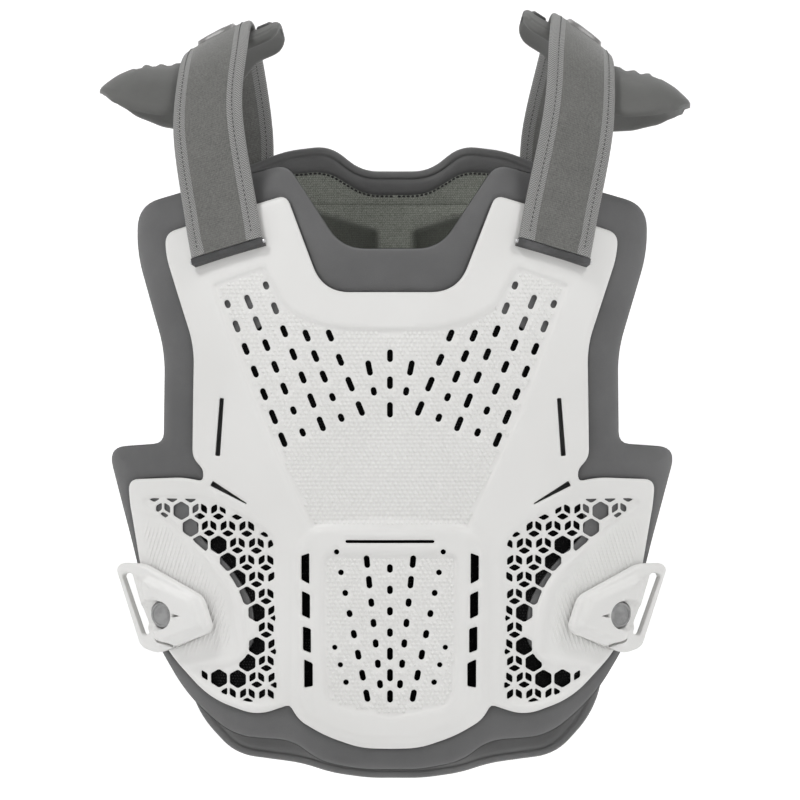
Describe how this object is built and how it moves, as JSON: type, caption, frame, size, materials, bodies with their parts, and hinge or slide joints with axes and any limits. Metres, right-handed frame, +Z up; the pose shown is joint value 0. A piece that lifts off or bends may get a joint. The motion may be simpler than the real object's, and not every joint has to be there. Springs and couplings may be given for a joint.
{
  "type": "roost deflector",
  "caption": "Roost deflector: a pierced plastic chest shell on foam, a padded back panel, arched shoulder straps with caps, and side buckles on studs, with slots for webbing.",
  "frame": {"origin": "midway between the wearer's shoulders, level with the underside of the shoulder caps at their crest", "axes": "+X to the right as seen from the front, +Y to the back, +Z up; the chest faces -Y"},
  "size_m": [0.3918, 0.2363, 0.5206],
  "materials": {
    "shell_plastic": "satin off-white moulded plastic with a fine studded grain in its recesses",
    "foam": "matt mid-grey moulded foam with a smooth skin and rounded edges",
    "liner_mesh": "black open mesh",
    "lining_fabric": "greenish grey knitted lining with a stitched edge",
    "strap_fabric": "dark grey brushed fabric over padding",
    "binding_tape": "grey woven edge tape with a line of stitches",
    "trim_rubber": "dark grey satin rubber",
    "cap_foam": "matt grey moulded foam with raised ridges",
    "stud_plastic": "satin grey plastic"
  },
  "bodies": {
    "root": {"front_shell": "shell_plastic", "front_foam": "foam", "front_liner": "liner_mesh", "back_foam": "foam", "back_lining": "lining_fabric", "back_shell": "shell_plastic", "strap_left": "strap_fabric", "strap_binding_inner_left": "binding_tape", "strap_binding_outer_left": "binding_tape", "strap_badge_left": "trim_rubber", "strap_bar_front_left": "trim_rubber", "strap_bar_back_left": "trim_rubber", "shoulder_cap_left": "cap_foam", "cap_patch_left": "trim_rubber", "side_buckle_left": "shell_plastic", "buckle_stud_left": "stud_plastic", "strap_right": "strap_fabric", "strap_binding_inner_right": "binding_tape", "strap_binding_outer_right": "binding_tape", "strap_badge_right": "trim_rubber", "strap_bar_front_right": "trim_rubber", "strap_bar_back_right": "trim_rubber", "shoulder_cap_right": "cap_foam", "cap_patch_right": "trim_rubber", "side_buckle_right": "shell_plastic", "buckle_stud_right": "stud_plastic"}
  },
  "joints": []
}
